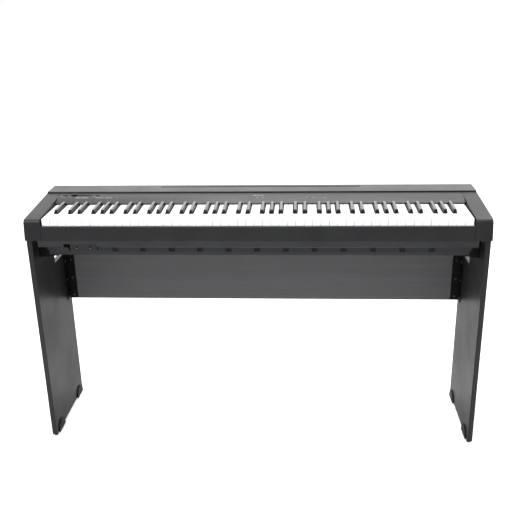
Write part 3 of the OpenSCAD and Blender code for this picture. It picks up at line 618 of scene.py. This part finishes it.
def panel_marks():
    """Rows of plain bars on the panel, and a scale beside the slider with longer lines at its ends."""
    ink = bmesh.new()
    for y, width, bars in BAR_ROWS:
        for left, right in bars:
            mark(ink, (left + right) / 2, y, right - left, width)
    for i in range(SCALE_COUNT):
        height = SCALE_LONG if i in (0, SCALE_COUNT - 1) else SCALE_SHORT
        mark(ink, SCALE_X + i * SCALE_STEP, SCALE_Y, SCALE_LINE, height)
    finish_piece(ink, "panel_marks", STAND, INK)


def slot_edge_shade():
    """Painted shade: dark bars along the edges of the slider's slot, standing in for the shade in it."""
    lines = bmesh.new()
    for y in SLOT_Y:
        mark(lines, sum(SLOT_X) / 2, y, *SLOT_LONG)
    for x in SLOT_X:
        mark(lines, x, sum(SLOT_Y) / 2, *SLOT_SHORT)
    finish_piece(lines, "slot_edge_shade", STAND, SHADE_BLACK)


def power_lamp():
    """A small domed lamp beside the power button."""
    hit, normal = on_panel(LAMP_X, LAMP_Y)
    lens = lathe([(0, 0.7), (0.7, 0.6), (1.2, 0.3), (1.4, -0.6), (0, -0.6)], 24)
    whole = merged(lens, [pointing(hit, normal)])
    finish_piece(whole, "power_lamp", STAND, LENS)


panel_marks()
slot_edge_shade()
power_lamp()


def hook_recess():
    """A near-black sheet of painted shade in the recess beside the socket box, and below it a slanting
    headphone hook in the same painted-shade black.
    """
    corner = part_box("headphone_box")[0] / MM
    shade_sheet = slab(corner + Vector((-9.5, 7, 14.2)), (18.8, 5, 11.4))
    hook = bmesh.new()
    outline = [(-9, 9.5), (-1.2, 9.5), (-1.2, -2.5), (-3.6, -4.0)]      # X and Z from the box's corner
    front, thickness = 5, 4
    side = hook.faces.new([hook.verts.new((corner + Vector((x, front, z))) * MM) for x, z in outline])
    grown = bmesh.ops.extrude_face_region(hook, geom=[side])
    moved = [made for made in grown["geom"] if isinstance(made, bmesh.types.BMVert)]
    bmesh.ops.translate(hook, verts=moved, vec=(0, thickness * MM, 0))
    bmesh.ops.recalc_face_normals(hook, faces=hook.faces)
    round_edges(shade_sheet, 0.4)
    round_edges(hook, 0.5)
    finish_piece(shade_sheet, "recess_painted_shade", STAND, SHADE_BLACK)
    finish_piece(hook, "headphone_hook", STAND, SHADE_BLACK)


hook_recess()


def socket_linings():
    """Nickel sleeves just inside the sockets, and the pin of the power inlet. The heights of both outlines
    count from the face of the socket, so the metal starts a little inside it."""
    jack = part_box("headphone_box")
    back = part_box("rear_sockets")
    height = (jack[0].z + jack[1].z) / 2
    sleeve = [(3.2, -0.4), (3.2, -9.0), (2.7, -9.0), (2.7, -0.9), (3.2, -0.4)]
    rear_height = (back[0].z + back[1].z) / 2
    places = [pointing((jack[0].x + dx * MM, jack[0].y, height), (0, -1, 0)) for dx in JACKS]
    places.append(pointing((PEDAL_X * MM, back[1].y, rear_height), (0, 1, 0)))
    finish_piece(merged(lathe(sleeve, 32), places), "jack_sleeves", STAND, NICKEL)
    pin = lathe([(0, -1.6), (0.6, -1.8), (0.9, -2.4), (0.9, -23.9), (0, -23.9)], 24)
    inlet = [pointing((INLET_X * MM, back[1].y, rear_height), (0, 1, 0))]
    finish_piece(merged(pin, inlet), "inlet_pin", STAND, NICKEL)


socket_linings()


def vent_cloth():
    """A strip of dark cloth behind the vents of the set-back wall."""
    from_front, middle_height = 61.5, 628
    length, thickness, width = 1130, 0.8, 30
    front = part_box("lower_case")[0].y / MM
    strip = slab((0, front + from_front, middle_height), (length, thickness, width))
    finish_piece(strip, "vent_cloth", STAND, CLOTH)


vent_cloth()

# ---- action ----

paint("key_frame", FRAME_STEEL_SHADED)
paint("pivot_rods", ROD)
paint("key_felts", FELT)
paint("contact_board", BOARD_GREEN)
paint("main_board", BOARD_GREEN)
paint("speakers", PAPER)
for hammer_node in HAMMER_NODES:
    paint(hammer_node, HAMMER)

# ---- keys ----

KEY_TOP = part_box("key_c4")[1].z     # metres
WAIST = KEY_TOP + 2 * MM            # where a black key's sides start to lean in
TOP_SHARE = 0.82                    # the width of a black key's top as a share of its foot's


def white_keys(node):
    """White keys with softly rounded tops and fronts."""
    shape = welded(node)
    round_edges(shape, 0.9, 3, 40, lambda e: max(v.co.z for v in e.verts) > KEY_TOP - SAME * MM)
    finish_piece(shape, node + "_acrylic", body_of_node(node), IVORY, [node])


def black_keys(node):
    """Black keys whose sides lean in towards a narrower, rounded top."""
    shape = welded(node)
    bmesh.ops.bisect_plane(shape, geom=shape.verts[:] + shape.edges[:] + shape.faces[:], dist=0.01 * MM,
                           plane_co=(0, 0, WAIST), plane_no=(0, 0, 1))
    for group in islands(shape):
        middle = (min(v.co.x for v in group) + max(v.co.x for v in group)) / 2
        for vert in group:
            if vert.co.z > WAIST + 1 * MM:
                vert.co.x = middle + (vert.co.x - middle) * TOP_SHARE
    round_edges(shape, 1.1, 3, 35, lambda e: min(v.co.z for v in e.verts) > WAIST - 0.1 * MM)
    finish_piece(shape, node + "_matt", body_of_node(node), EBONY, [node])


for key_node in WHITE_NODES:
    white_keys(key_node)
for key_node in BLACK_NODES:
    black_keys(key_node)


# ---- floor, light and camera, all in metres ----

SKY_FRONT, SKY_BACK = 0.35, 1.45                # the room's strength in front of the piano and behind it
FLOOR_HALF = 12
FLOOR_FAR, FLOOR_NEAR = 0.12, 0.5               # the floor's grey far in front and near the piano
FLOOR_DIM_FROM, FLOOR_DIM_TO = -1.35, -1.8      # the Y places between which it changes
FLOOR_WHITE, FLOOR_GLOW = 0.98, 0.3             # its own tone and glow, as the camera sees it
AIM = Vector((0, 0, 0.6))                       # where the lamps point
LAMPS = [                                       # name, place, side of the square in metres, watts
    ("key_light", (-0.7, -2.6, 3.4), 2.0, 100),
    ("top_light", (0.3, 0.9, 3.2), 2.6, 62),
    ("low_fill", (0.0, -2.7, 0.6), 2.0, 50),
]
EYE = (0.13726, -2.1233, 1.36589)
YAW, PITCH, ROLL = 0.0672, 0.3598, -0.0218      # radians: to the left, downwards, and tilt
FOCAL_MM, SENSOR_MM, FAR_CLIP = 52.23, 36, 60


def floor():
    """A plain pale floor: white to the camera up to soft shadows. In what it mirrors and lights it is
    bright near the piano and a dim grey further out towards the player."""
    ground = bmesh.new()
    bmesh.ops.create_grid(ground, x_segments=1, y_segments=1, size=FLOOR_HALF)
    mesh = bpy.data.meshes.new("floor")
    ground.to_mesh(mesh)
    ground.free()
    sheet = bpy.data.objects.new("floor", mesh)
    bpy.context.scene.collection.objects.link(sheet)
    paper, tree, surface, place = start("pale_floor", {"Roughness": 0.9, "Specular IOR Level": 0.1,
                                                       "Emission Color": (1.0, 1.0, 1.0, 1.0)})
    ahead = add(tree, "ShaderNodeSeparateXYZ", {}, {"Vector": place}).outputs["Y"]
    grey = add(tree, "ShaderNodeMapRange", {"From Min": FLOOR_DIM_TO, "From Max": FLOOR_DIM_FROM,
                                            "To Min": FLOOR_FAR, "To Max": FLOOR_NEAR}, {"Value": ahead})
    seen = add(tree, "ShaderNodeLightPath").outputs["Is Camera Ray"]
    shade = add(tree, "ShaderNodeMix", {"data_type": "FLOAT", 3: FLOOR_WHITE},
                {0: seen, 2: grey.outputs["Result"]})
    glow = add(tree, "ShaderNodeMath", {"operation": "MULTIPLY", 1: FLOOR_GLOW}, {0: seen})
    tree.links.new(shade.outputs[0], surface.inputs["Base Color"])
    tree.links.new(glow.outputs["Value"], surface.inputs["Emission Strength"])
    mesh.materials.append(paper)


def sky():
    """An even white room: dimmer towards the player, brighter behind the piano, white to the camera."""
    world = bpy.data.worlds.new("studio")
    world.use_nodes = True
    tree = world.node_tree
    way = add(tree, "ShaderNodeTexCoord").outputs["Generated"]
    parts = add(tree, "ShaderNodeSeparateXYZ", {}, {"Vector": way})
    graded = add(tree, "ShaderNodeMapRange", {"From Min": -0.7, "From Max": 0.7,
                                              "To Min": SKY_FRONT, "To Max": SKY_BACK},
                 {"Value": parts.outputs["Y"]})
    seen = add(tree, "ShaderNodeLightPath").outputs["Is Camera Ray"]
    strength = add(tree, "ShaderNodeMix", {"data_type": "FLOAT", 3: 1.0},
                   {0: seen, 2: graded.outputs["Result"]})
    tree.links.new(strength.outputs[0], tree.nodes["Background"].inputs["Strength"])
    tree.nodes["Background"].inputs["Color"].default_value = (1.0, 1.0, 1.0, 1.0)
    bpy.context.scene.world = world


def studio():
    """The floor, the sky, two broad soft lights above and a low fill that makes no highlights."""
    floor()
    sky()
    for name, place, size, power in LAMPS:
        lamp = bpy.data.lights.new(name, "AREA")
        lamp.size = size
        lamp.energy = power
        light = bpy.data.objects.new(name, lamp)
        light.location = place
        light.rotation_euler = (AIM - Vector(place)).to_track_quat("-Z", "Y").to_euler()
        light.visible_glossy = name != "low_fill"
        bpy.context.scene.collection.objects.link(light)


def look():
    """The camera stands in front of the piano, a little right of its middle, and looks down at it."""
    ahead = math.cos(PITCH)
    forward = Vector((-math.sin(YAW) * ahead, math.cos(YAW) * ahead, -math.sin(PITCH)))
    right = Vector((math.cos(YAW), math.sin(YAW), 0))
    up = right.cross(forward)
    across = math.cos(ROLL) * right + math.sin(ROLL) * up
    upward = -math.sin(ROLL) * right + math.cos(ROLL) * up
    lens = bpy.data.cameras.new("camera")
    lens.lens = FOCAL_MM
    lens.sensor_width = SENSOR_MM
    lens.clip_end = FAR_CLIP
    camera = bpy.data.objects.new("camera", lens)
    turn = Matrix((across, upward, -forward)).transposed().to_4x4()
    camera.matrix_world = Matrix.Translation(EYE) @ turn
    bpy.context.scene.collection.objects.link(camera)
    bpy.context.scene.camera = camera


studio()
look()
bpy.context.scene.view_settings.view_transform = "Standard"
